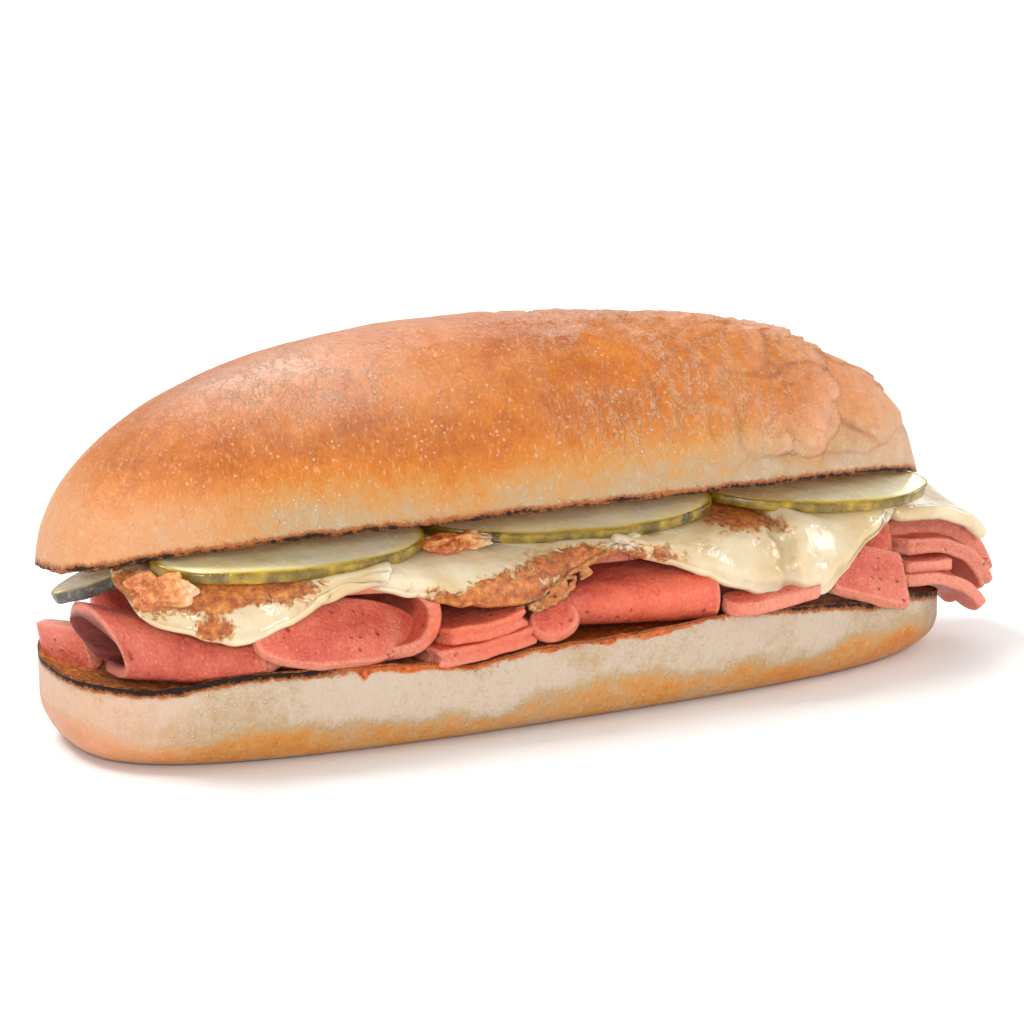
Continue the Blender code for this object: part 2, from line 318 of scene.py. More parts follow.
def crust_material():
    """Bread crust and toasted crumb; marks say how baked, charred, greasy or cut it is."""
    s = Shader("crust", Coat_Roughness=0.2, Specular_IOR_Level=0.28)
    gloss = s.mark("gloss")
    bake = s.mark("bake")
    char = s.mark("char")
    grease = s.mark("grease")
    cut = s.mark("cut")
    pale = s.mark("pale")
    crack = s.mark("crack")
    broad = s.noise(0.018, 3)
    mottle = s.noise(0.0035, 4, 0.6)
    fine = s.noise(0.0008, 3, 0.7)
    level = s.add(bake, s.times(s.add(broad, -0.5), 0.45))
    level = s.add(level, s.times(s.add(mottle, -0.5), 0.5))
    level = s.add(level, s.times(s.add(fine, -0.5), 0.42))
    colour = s.colours(level,
                       (0.0, (0.54, 0.43, 0.33)), (0.22, (0.44, 0.31, 0.175)),
                       (0.45, (0.54, 0.25, 0.062)), (0.68, (0.55, 0.165, 0.010)),
                       (1.0, (0.36, 0.078, 0.004)))
    freckle = s.ramp(s.noise(0.0012, 4, 0.7), 0.52, 0.72, 0.0, 0.25)
    colour = s.mix(freckle, colour, (0.40, 0.215, 0.09))
    streak = s.noise(0.0008, 3, 0.6, s.stretch(s.place, (1.0, 0.6, 0.35)))
    streak = s.times(s.ramp(streak, 0.56, 0.74), s.ramp(bake, 0.2, 0.5, 0.12, 0.34))
    colour = s.mix(streak, colour, (0.90, 0.55, 0.31))
    # Painted highlight: light lines along the crinkle ridges where the crust is glossy, standing in for
    # glints.
    crinkle = s.noise(0.0036, 5, 0.65, s.stretch(s.place, (1.0, 0.7, 0.5)), 0.3)
    ridge = s.ramp(s.math("ABSOLUTE", s.add(crinkle, -0.5)), 0.045, 0.0)
    colour = s.mix(s.times(s.times(ridge, gloss), 0.65), colour, (0.98, 0.61, 0.36))
    blister = s.cells(0.0021).outputs["Distance"]
    keep = s.ramp(s.noise(0.008, 3), 0.42, 0.6)
    spots = s.times(s.ramp(s.add(blister, s.times(fine, 0.12)), 0.3, 0.16), keep)
    colour = s.mix(s.times(spots, 0.5), colour, (0.80, 0.56, 0.38))
    # Paler crust at the lid's ends, on its raised flakes and at the heel's left end; on the lid's
    # upper-left shoulder it is a painted sheen.
    colour = s.mix(s.times(pale, 0.75), colour, (0.74, 0.40, 0.27))
    colour = s.mix(s.times(crack, 0.6), colour, (0.32, 0.09, 0.022))
    speckle = s.noise(0.0016, 4, 0.65)
    crumb = s.colours(speckle,
                      (0.3, (0.20, 0.036, 0.006)), (0.5, (0.54, 0.15, 0.02)), (0.75, (0.80, 0.38, 0.09)))
    colour = s.mix(cut, colour, crumb)
    stain = s.colours(speckle,
                      (0.3, (0.24, 0.022, 0.003)), (0.5, (0.56, 0.10, 0.010)), (0.72, (0.74, 0.24, 0.04)))
    colour = s.mix(s.ramp(s.add(grease, s.times(s.add(mottle, -0.5), 1.3)), 0.35, 0.75), colour, stain)
    scorch = s.add(char, s.times(s.add(s.noise(0.0021, 4, 0.75), -0.5), 1.3))
    colour = s.mix(s.ramp(scorch, 0.16, 0.5), colour, (0.42, 0.12, 0.022))
    black = s.ramp(scorch, 0.55, 0.85)
    colour = s.mix(black, colour, (0.022, 0.010, 0.006))
    normal = s.bump(spots, 0.00025)
    normal = s.bump(fine, 0.00028, normal)
    normal = s.bump(s.noise(0.0019, 4, 0.6, s.stretch(s.place, (1.0, 0.7, 0.6))), 0.0006, normal)
    normal = s.bump(s.noise(0.006, 4, 0.6, s.stretch(s.place, (1.0, 0.5, 0.5))), 0.0011, normal)
    normal = s.bump(s.times(s.add(crinkle, s.times(ridge, 0.3)), gloss), 0.0014, normal)
    normal = s.bump(s.times(speckle, s.math("MAXIMUM", cut, char)), 0.0016, normal)
    roughness = s.ramp(bake, 0.2, 0.7, 0.6, 0.38)
    roughness = s.add(roughness, s.times(s.add(mottle, -0.5), 0.3))
    roughness = s.math("SUBTRACT", roughness, s.times(grease, 0.2), clamp=True)
    s.put(s.surface.inputs["Coat Weight"], s.ramp(gloss, 0.0, 1.0, 0.1, 0.6))
    return s.finish(colour, s.math("MAXIMUM", roughness, s.times(black, 0.9)), normal)


def salami_material():
    """Moist cooked salami: fine-grained pink faces with pores, a paler cut rim."""
    s = Shader("salami", Coat_Weight=0.4, Coat_Roughness=0.16, Specular_IOR_Level=0.5)
    sheet = s.mark("sheet", "Vector")
    rim = s.mark("rim")
    wet = s.mark("wet")
    grain = s.noise(0.0008, 5, 0.75, sheet)
    broad = s.noise(0.009, 4, 0.6, sheet)
    level = s.add(s.times(broad, 0.5), s.times(grain, 0.5))
    colour = s.colours(level,
                       (0.32, (0.46, 0.036, 0.018)), (0.46, (0.76, 0.115, 0.062)),
                       (0.56, (0.87, 0.19, 0.112)), (0.68, (0.94, 0.37, 0.24)))
    fat = s.ramp(s.cells(0.0019, sheet).outputs["Distance"], 0.26, 0.08)
    colour = s.mix(s.times(fat, 0.4), colour, (0.90, 0.44, 0.31))
    pit = s.ramp(s.cells(0.0028, s.shift(sheet, (0.4, 0.2, 0.3))).outputs["Distance"], 0.24, 0.1)
    pit = s.times(pit, s.ramp(s.noise(0.006, 2, 0.5, sheet), 0.48, 0.6))
    colour = s.mix(s.times(pit, 0.7), colour, (0.28, 0.02, 0.010))
    colour = s.mix(s.times(rim, s.ramp(grain, 0.3, 0.6, 0.3, 0.85)), colour, (0.88, 0.32, 0.205))
    colour = s.mix(s.ramp(s.add(wet, s.times(s.add(broad, -0.5), 0.8)), 0.2, 0.9, 0.0, 0.7),
                   colour, (0.92, 0.15, 0.06))
    # Painted shade from the shade mark: dark red inside the rolled slice, slightly darker all over it.
    colour = s.mix(s.mark("shade"), colour, (0.17, 0.012, 0.006))
    normal = s.bump(grain, 0.0007)
    normal = s.bump(pit, -0.0006, normal)
    normal = s.bump(s.noise(0.0024, 4, 0.6, sheet), 0.0008, normal)
    roughness = s.ramp(s.noise(0.003, 4, 0.65, sheet), 0.3, 0.7, 0.3, 0.6)
    roughness = s.math("SUBTRACT", roughness, s.times(wet, 0.2), clamp=True)
    return s.finish(colour, roughness, normal)


def cheese_material():
    """Melted cheese, glossy and milky, with patches fried to an orange-brown crust."""
    s = Shader("cheese", Subsurface_Weight=0.45, Subsurface_Radius=(1.0, 0.75, 0.4),
               Subsurface_Scale=0.004, Coat_Weight=0.5, Coat_Roughness=0.09, Specular_IOR_Level=0.5)
    fried = s.mark("fried")
    broad = s.noise(0.012, 3)
    colour = s.colours(broad,
                       (0.3, (0.60, 0.45, 0.24)), (0.5, (0.67, 0.55, 0.35)), (0.72, (0.74, 0.66, 0.49)))
    speck = s.noise(0.0028, 6, 0.72, distortion=0.8)
    lacy = s.add(fried, s.times(s.add(speck, -0.5), 2.2))
    toast = s.colours(s.noise(0.0019, 5, 0.7),
                      (0.3, (0.20, 0.026, 0.004)), (0.44, (0.48, 0.10, 0.012)),
                      (0.58, (0.72, 0.235, 0.03)), (0.75, (0.86, 0.47, 0.13)))
    colour = s.mix(s.ramp(lacy, 0.3, 0.55, 0.0, 0.6), colour, (0.76, 0.35, 0.07))
    colour = s.mix(s.ramp(lacy, 0.46, 0.66, 0.0, 0.95), colour, toast)
    normal = s.bump(s.noise(0.006, 3, 0.5), 0.0009)
    normal = s.bump(s.noise(0.0013, 3, 0.55), 0.00015, normal)
    normal = s.bump(s.times(s.ramp(lacy, 0.4, 0.8), s.noise(0.0009, 4, 0.7)), 0.001, normal)
    roughness = s.ramp(lacy, 0.4, 0.7, 0.26, 0.42)
    return s.finish(colour, roughness, normal)


def pickle_material():
    """Pickled gherkin: translucent flesh, a darker band of skin with warts."""
    s = Shader("pickle", Subsurface_Weight=0.5, Subsurface_Radius=(1.0, 0.85, 0.35),
               Subsurface_Scale=0.004, Coat_Weight=0.5, Coat_Roughness=0.08, Specular_IOR_Level=0.5)
    sheet = s.mark("sheet", "Vector")
    rim = s.mark("rim")
    near = s.mark("near")
    dull = s.mark("dull")
    flesh = s.colours(s.noise(0.014, 3, 0.5, sheet),
                      (0.3, (1.0, 0.80, 0.38)), (0.5, (1.0, 0.90, 0.54)), (0.72, (1.0, 0.96, 0.70)))
    streak = s.noise(0.0014, 4, 0.6, s.stretch(sheet, (0.3, 1.0, 1.0)))
    flesh = s.mix(s.ramp(streak, 0.5, 0.75, 0.0, 0.35), flesh, (0.93, 0.88, 0.70))
    flesh = s.mix(s.ramp(near, 0.0003, 0.0022, 0.9, 0.0), flesh, (0.72, 0.55, 0.07))
    skin = s.colours(s.noise(0.0045, 3, 0.6, sheet),
                     (0.3, (0.08, 0.052, 0.002)), (0.5, (0.21, 0.135, 0.005)), (0.72, (0.46, 0.30, 0.014)))
    wart = s.cells(0.009, s.stretch(sheet, (1.0, 1.0, 0.6)), randomness=0.9).outputs["Distance"]
    wart = s.ramp(s.add(wart, s.times(s.noise(0.0012, 3), 0.25)), 0.34, 0.2)
    skin = s.mix(s.times(wart, 0.85), skin, (0.03, 0.03, 0.022))
    skin = s.mix(s.times(s.ramp(s.noise(0.001, 3), 0.55, 0.7), wart), skin, (0.35, 0.35, 0.30))
    skin = s.mix(dull, skin, s.colours(s.noise(0.002, 4, 0.65),
                                       (0.35, (0.016, 0.015, 0.011)), (0.55, (0.06, 0.055, 0.042)),
                                       (0.78, (0.28, 0.26, 0.21))))
    colour = s.mix(rim, flesh, skin)
    normal = s.bump(s.times(wart, rim), 0.0005)
    normal = s.bump(s.noise(0.003, 3), 0.00025, normal)
    normal = s.bump(s.times(s.noise(0.0018, 4, 0.7), dull), 0.0014, normal)
    return s.finish(colour, s.ramp(s.noise(0.003, 3), 0.3, 0.7, 0.14, 0.3), normal)


def crisp_material():
    """Cheese and crumbs fried to shiny brown crisps."""
    s = Shader("crisp", Subsurface_Weight=0.15, Subsurface_Radius=(1.0, 0.4, 0.15),
               Subsurface_Scale=0.002, Coat_Weight=0.4, Coat_Roughness=0.15, Specular_IOR_Level=0.5)
    pale = s.mark("pale")
    level = s.add(s.noise(0.0016, 5, 0.7), s.times(pale, 0.5))
    colour = s.colours(level, (0.3, (0.22, 0.035, 0.006)), (0.48, (0.55, 0.14, 0.025)),
                       (0.62, (0.74, 0.32, 0.09)), (0.85, (0.86, 0.62, 0.38)))
    normal = s.bump(s.noise(0.001, 4, 0.7), 0.0005)
    return s.finish(colour, s.ramp(s.noise(0.002, 3), 0.3, 0.7, 0.25, 0.5), normal)


# The two halves of the roll

ROLL_COLUMNS = 300
ROLL_ROWS = 150
HEEL_LENGTH = 238.6
HEEL_WIDTH = 81.4
HEEL_HEIGHT = 21.6
HEEL_PLAN = 2.93
HEEL_BASE_INSET = 10
HEEL_WALL_SHARE = 0.6
HEEL_DISH = 3.2
HEEL_END_DROOP = (0.4, 8.6)
HEEL_RIM_WAVES = ((-102, -2.4, 13), (-62, 0.9, 17), (-31, -2.2, 9), (42, 1.4, 20), (84, -1.4, 9))
LID_LENGTH = 232
LID_WIDTH = 74
LID_DOME = 45
LID_PLAN = 2.9
LID_FULLNESS = 0.89
LID_HOLLOW = 4.5
LID_END_DROOP = 4.8
LID_TILT = math.radians(7)
LID_CENTRE = np.array((-3.6, 0, 48.8))


def disc(columns, rows):
    """Share of the way round and reach from the middle, of a grid drawn in to a disc."""
    s, t = grid(columns, rows)
    across = s * np.sqrt(1 - t * t / 2)
    along = t * np.sqrt(1 - s * s / 2)
    share = (np.arctan2(along, across) / (2 * math.pi)) % 1
    return share, np.minimum(np.hypot(across, along), 1)


def plan_points(share, half_length, half_width, power):
    """Points of a superellipse at shares of the way round it, even along its length."""
    angles = np.linspace(0, 2 * math.pi, 2881)
    x = half_length * np.sign(np.cos(angles)) * np.abs(np.cos(angles)) ** (2 / power)
    y = half_width * np.sign(np.sin(angles)) * np.abs(np.sin(angles)) ** (2 / power)
    way = np.concatenate(([0], np.cumsum(np.hypot(np.diff(x), np.diff(y)))))
    return np.interp(share * way[-1], way, x), np.interp(share * way[-1], way, y)


def heel_rim(x, y):
    """Height of the cut edge, which droops at the ends and waves along the front."""
    end = np.abs(x) / (HEEL_LENGTH / 2)
    droop = np.where(x > 0, HEEL_END_DROOP[1], HEEL_END_DROOP[0]) * end ** 5
    wave = sum(height * bell(x, place, spread) for place, height, spread in HEEL_RIM_WAVES)
    back_ridge = 2.2 * rise(y, 4, 28) * rise(x, -70, -95)
    front_rise = 1.9 * patch(x, y, (-92, -38), (20, 20))
    wave = wave * (0.65 - 0.35 * y / (HEEL_WIDTH / 2))
    return HEEL_HEIGHT - droop + wave + back_ridge + front_rise


def heel_surfaces():
    """Cut face and outside of the heel, in millimetres."""
    share, reach = disc(ROLL_COLUMNS, ROLL_ROWS)
    x, y = plan_points(share, HEEL_LENGTH / 2, HEEL_WIDTH / 2, HEEL_PLAN)
    rim = heel_rim(x, y)
    face = np.sin(reach * math.pi / 2)
    level = HEEL_HEIGHT - HEEL_DISH + (rim - HEEL_HEIGHT + HEEL_DISH) * face ** 4
    top = np.stack((x * face, y * face, level), axis=-1)
    wall = np.clip(2 - 2 * reach, 0, 1)
    level = rim * (1 - wall)
    low = np.maximum(0, 1 - level / (rim * HEEL_WALL_SHARE))
    inset = HEEL_BASE_INSET * (1 - np.sqrt(np.maximum(0, 1 - low ** 2)))
    base = np.clip(2 * reach, 0, 1)
    bottom = np.stack((x * (1 - inset / (HEEL_LENGTH / 2)) * base,
                       y * (1 - inset / (HEEL_WIDTH / 2)) * base, level), axis=-1)
    return top, bottom, reach


def lid_surfaces():
    """Outside and cut face of the lid, in millimetres."""
    share, reach = disc(ROLL_COLUMNS, ROLL_ROWS)
    x, y = plan_points(share, LID_LENGTH / 2, LID_WIDTH / 2, LID_PLAN)
    droop = LID_END_DROOP * (np.abs(x) / (LID_LENGTH / 2)) ** 5
    latitude = (1 - reach) * math.pi / 2
    dome = np.cos(latitude) ** LID_FULLNESS
    height = LID_DOME * np.sin(latitude) - droop * (1 - np.sin(latitude))
    top = np.stack((x * dome, y * dome, height), axis=-1)
    face = np.sin(reach * math.pi / 2)
    height = LID_HOLLOW * (1 - face ** 4) - droop * face ** 4
    bottom = np.stack((x * face, y * face, height), axis=-1)
    turn = np.array(Matrix.Rotation(-LID_TILT, 3, "X"))
    return top @ turn.T + LID_CENTRE, bottom @ turn.T + LID_CENTRE, reach


def flakes(points, size, seed, stretch=(1, 1, 1)):
    """Curled flakes of crust: lift of each point, and how near it is to a crack."""
    bent = points * np.array(stretch) + 0.35 * size * np.stack(
        [rough_noise(points, size, 3, seed + axis) for axis in range(3)], axis=-1)
    low, high = bent.reshape(-1, 3).min(0), bent.reshape(-1, 3).max(0)
    count = int(np.prod(np.maximum((high - low) / size, 1)) * 1.2)
    seeds = np.random.default_rng(seed).uniform(low, high, (count, 3))
    flat = bent.reshape(-1, 3)
    nearest = np.full(len(flat), np.inf)
    second = np.full(len(flat), np.inf)
    lean = np.zeros(len(flat))
    for place in seeds:
        away = flat - place
        distance = np.linalg.norm(away, axis=1)
        closer = distance < nearest
        second = np.where(closer, nearest, np.minimum(second, distance))
        lean = np.where(closer, away @ np.array((0.75, -0.25, -0.6)) / size, lean)
        nearest = np.where(closer, distance, nearest)
    lift = np.clip(0.5 + lean, 0, 1.2)
    shape = points.shape[:-1]
    return lift.reshape(shape), (second - nearest).reshape(shape)


def make_lid(material):
    top, bottom, reach = lid_surfaces()
    normal = grid_normals(top)
    x, y, z = np.moveaxis(top, -1, 0)
    height = (z - LID_CENTRE[2]) / LID_DOME
    broad = 0.8 * noise(top, 34, 1) + 0.35 * rough_noise(top, 11, 2, 2)
    flaky = rise(x, 34, 62) * rise(height, 0.1, 0.3) * (0.55 + 0.45 * rise(noise(top, 16, 5), -0.3, 0.3))
    large_lift, large_edge = flakes(top, 17, 11, (0.8, 1, 1))
    small_lift, small_edge = flakes(top, 7.5, 12, (1.2, 0.9, 0.8))
    lift = flaky * (1.5 * large_lift + 0.9 * small_lift * rise(noise(top, 9, 6), -0.3, 0.1))
    crack = flaky * (rise(large_edge, 1.1, 0.2) + 0.4 * rise(small_edge, 0.7, 0.1))
    folds = rise(x, -15, 10) * rise(x, 95, 60) * rise(height, 0.2, 0.45)
    wrinkle = np.abs(noise(top * np.array((1, 0.35, 0.3)), 2.6, 8)) * folds
    crease = bell(height - 0.68 - 0.0035 * (x + 40), 0, 0.035) * rise(x, -85, -60) * rise(x, 10, -15)
    rim_share = rise(reach, 0.93, 1)
    push = broad * (1 - 0.6 * rim_share) + lift - 1.3 * wrinkle + 1.0 * crease * rise(y, 0, -8)
    top = top + normal * push[..., None]
    ragged = 0.7 * rough_noise(top * np.array((1, 1, 0.3)), 4, 4, 9) * rise(reach, 0.965, 1)
    top[..., 2] += ragged
    crumb = rough_noise(bottom, 4, 4, 14)
    bottom = bottom + np.stack((0 * crumb, 0 * crumb, 0.7 * crumb * rise(reach, 1, 0.96)), axis=-1)
    bottom[..., 2] += ragged
    edge = border(ROLL_COLUMNS, ROLL_ROWS)
    first, last = top.reshape(-1, 3)[edge], bottom.reshape(-1, 3)[edge]
    low = last.copy()
    low[:, 2] -= 0.25
    bake = 0.27 + 0.54 * rise(height, 0.14, 0.56) + 0.08 * rise(height, 0.8, 0.97)
    bake -= 0.08 * rise(x, 30, 90) + 0.12 * noise(top, 26, 21)
    bake += 0.2 * rise(x, -70, -110) * rise(height, 0.6, 0.15)
    pale = 0.45 * rise(x, 60, 105) + 0.45 * rise(x, -70, -100) * rise(height, 0.5, 0.15)
    pale += 0.35 * flaky * (rise(large_lift, 0.6, 1.1) + rise(small_lift, 0.6, 1.1))
    # Painted sheen: a paler, pinker patch on the upper-left shoulder where the key light reflects; the
    # same patch is glossier and carries painted glints.
    shoulder = patch(x, height, (-66, 0.8), (33, 0.18)) * rise(y, 12, -5)
    pale += 0.85 * shoulder * (0.8 + 0.4 * noise(top, 5, 25))
    gloss = 0.75 * shoulder + 0.5 * folds * rise(noise(top, 14, 26), -0.4, 0.3) + 0.15 * flaky
    edge_distance = (1 - reach) * 62
    char = rise(edge_distance, 2.8, 0) ** 2 * (0.85 + 0.35 * noise(top, 9, 22))
    marks = {
        "bake": (bake, 0 * bake, [0 * edge] * 2),
        "pale": (pale, 0 * pale, [0 * edge] * 2),
        "crack": (crack, 0 * crack, [0 * edge] * 2),
        "gloss": (gloss, 0 * gloss, [0 * edge] * 2),
        "char": (char, 0.25 + 0.35 * noise(bottom, 14, 23) + 0.4 * rise(reach, 0.9, 1),
                 [0.75 + 0 * edge] * 2),
        "grease": (0 * bake, 0.25 * rise(noise(bottom, 20, 24), 0, 0.5), [0 * edge] * 2),
        "cut": (rise(edge_distance, 0.8, 0), 1 + 0 * bake, [1 + 0 * edge] * 2),
    }
    rings = [first * 0.6 + low * 0.4, low]
    mesh = closed_mesh("bun_top", top * MM, bottom * MM, [ring * MM for ring in rings], marks)
    return add_piece("bun_top_crust", mesh, material, "bun_top")


def make_heel(material):
    top, bottom, reach = heel_surfaces()
    normal = -grid_normals(bottom)
    x, y, z = np.moveaxis(bottom, -1, 0)
    side = rise(reach, 0.5, 0.6)
    push = side * (0.55 * noise(bottom, 22, 31) + 0.3 * rough_noise(bottom, 7, 3, 32))
    push *= rise(z, 0, 3)
    bottom = bottom + normal * push[..., None]
    bottom[..., 2] = np.maximum(bottom[..., 2], 0)
    crumb = rough_noise(top, 4, 4, 33)
    ragged = 0.5 * rough_noise(bottom * np.array((1, 1, 0)), 4.5, 4, 34) * rise(reach, 0.95, 1)
    top[..., 2] += 1.1 * crumb * rise(reach, 1, 0.94)
    edge = border(ROLL_COLUMNS, ROLL_ROWS)
    top.reshape(-1, 3)[edge, 2] += ragged.reshape(-1)[edge]
    bottom[..., 2] += ragged
    lip = bottom.reshape(-1, 3)[edge].copy()
    lip[:, 2] += 0.35
    wavy = z + 3.0 * noise(bottom, 17, 45) + 2.2 * noise(bottom, 6, 46)
    tan = 0.02 + 0.42 * rise(wavy, 12, 6) + 0.12 * noise(bottom, 12, 41)
    tan += 0.06 * rise(x, -55, -90) + 0.2 * rise(x, -98, -118) * rise(z, 17, 8) + 0.14 * rise(x, 30, 90) * rise(z, 16, 8)
    below = (heel_rim(x, y) - z) * rise(reach, 0.5, 0.55) + 30 * rise(reach, 0.5, 0.45)
    left = rise(x, -58, -70)
    right = rise(x, 34, 60)
    middle = rise(x, -72, -60) * rise(x, 50, 30)
    burnt = rise(below, 3.0, 0.3) * (0.98 * left + 0.8 * right + 0.3 * middle)
    fringe = 1.1 + 1.1 * noise(bottom * np.array((1, 1, 0)), 3.5, 42)
    drip = 3.0 * bell(x, -57.5, 1.6) + 1.2 * bell(x, -46, 4) + 0.8 * bell(x, -12, 5)
    grease = rise(below, fringe + drip + 1.2, fringe + drip - 1.2) * middle * rise(-y, 0, 15)
    face_x = top[..., 0]
    black = 0.22 + 0.35 * noise(top, 9, 43) + 0.3 * rise(reach, 0.985, 1)
    black += 0.22 * rise(face_x, -60, -90) * rise(top[..., 1], 5, 20) + 0.35 * rise(face_x, 60, 90)
    black -= 0.45 * rise(face_x, -62, -50) * rise(face_x, 45, 30)
    greasy = 0.9 * rise(face_x, -70, -55) * rise(face_x, 50, 30)
    zeros = 0 * tan
    marks = {
        "bake": (zeros, tan, [0 * edge]),
        "pale": (zeros, 0.6 * rise(x, -88, -116), [0 * edge]),
        "crack": (zeros, zeros, [0 * edge]),
        "char": (black, burnt, [0.6 + 0.2 * noise(lip, 9, 44) + 0 * edge]),
        "grease": (greasy, grease, [0.7 * rise(lip[:, 0], -70, -58) * rise(lip[:, 0], 45, 30)]),
        "cut": (1 + zeros, rise(below, 0.5, 0), [1 + 0 * edge]),
    }
    mesh = closed_mesh("bun_bottom", top * MM, bottom * MM, [lip * MM], marks)
    return add_piece("bun_bottom_crust", mesh, material, "bun_bottom")


# The slices. The fold is (length, turn) arcs in millimetres and degrees, the width lies
# across it, roundness goes from 0 for a rectangle to 1 for an ellipse, taper widens the fold
# towards +width, slant leans it sideways, and turn, pitch and roll place it.

Slice = namedtuple("Slice", "name fold width turn pitch roll roundness taper slant ragged nudge",
                   defaults=(0, 0, 0, 0.8, 0, 0, 0.5, (0, 0, 0)))

SALAMI = (
    Slice("salami_far_left", [(18, 6)], 9.5, turn=-77, pitch=6, roll=-80, roundness=0.04, ragged=0.3,
          nudge=(0.8, -2, -2)),
    Slice("salami_strip_left", [(28, 8)], 9.5, turn=90, pitch=3, roll=-24, roundness=0.2),
    Slice("salami_fold_left", [(33, 6), (22, 172), (22, 8)], 54),
    Slice("salami_flap_left", [(44, -26)], 15, pitch=3, roll=52, roundness=1, ragged=0.9,
          nudge=(-2, -2.6, -1.4)),
    Slice("salami_upright_left", [(16, 20)], 9, roll=72, roundness=0.4),
    Slice("salami_strip_lower", [(27, 10)], 21, pitch=1, roundness=0.45, ragged=1.4),
    Slice("salami_strip_upper", [(22, 8)], 19, pitch=4, roundness=0.5, ragged=1.4),
    Slice("salami_wedge", [(11, 30)], 8, roll=42, roundness=0.95),
    Slice("salami_fold_middle", [(24, -6), (12, -168), (24, -6)], 41, turn=-90, taper=0.24,
          roundness=0.3),
    Slice("salami_over_middle", [(10, 0), (12, -44), (30, -2)], 34, pitch=44, roundness=0.5),
    Slice("salami_fold_behind", [(20, 0), (13, -170), (20, 0)], 34, turn=-90, roundness=0.3),
    Slice("salami_tongue", [(26, 4)], 8, pitch=2, roll=10, roundness=0.6),
    Slice("salami_wedge_right", [(23, 8)], 15, pitch=-20, roll=46, roundness=0.15),
    Slice("salami_upright_right", [(18, -10)], 12, roll=80, roundness=0.2),
    Slice("salami_block_right", [(13, 0)], 10, pitch=-4, roundness=0.1),
    Slice("salami_end_top", [(12, 0), (30, -75)], 24, roundness=0.5),
    Slice("salami_end_middle", [(8, 0), (26, -70)], 15, roundness=0.5),
    Slice("salami_end_lower", [(8, 0), (22, -60)], 12, roundness=0.5),
    Slice("salami_end_hanging", [(12, -8), (18, -62)], 12, roundness=0.5),
    Slice("salami_back_1", [(14, 0), (16, -168), (14, 0)], 30, turn=72, roundness=0.4),
    Slice("salami_back_2", [(12, 0), (15, -168), (14, 0)], 34, turn=86, taper=-0.12, roundness=0.3),
    Slice("salami_back_3", [(30, 6), (20, 172), (16, 8)], 25, turn=176, pitch=1, roundness=0.5),
    Slice("salami_back_4", [(18, 0), (15, -168), (18, 0)], 34, turn=94, taper=0.1, roundness=0.35),
    Slice("salami_back_5", [(15, 0), (16, -168), (12, 0)], 26, turn=112, roundness=0.4),
    Slice("salami_back_lower", [(27, 8)], 14, pitch=-1, roll=-5, roundness=0.4),
    Slice("salami_back_upper", [(21, -10)], 16, pitch=3, roll=-7, roundness=0.5),
)

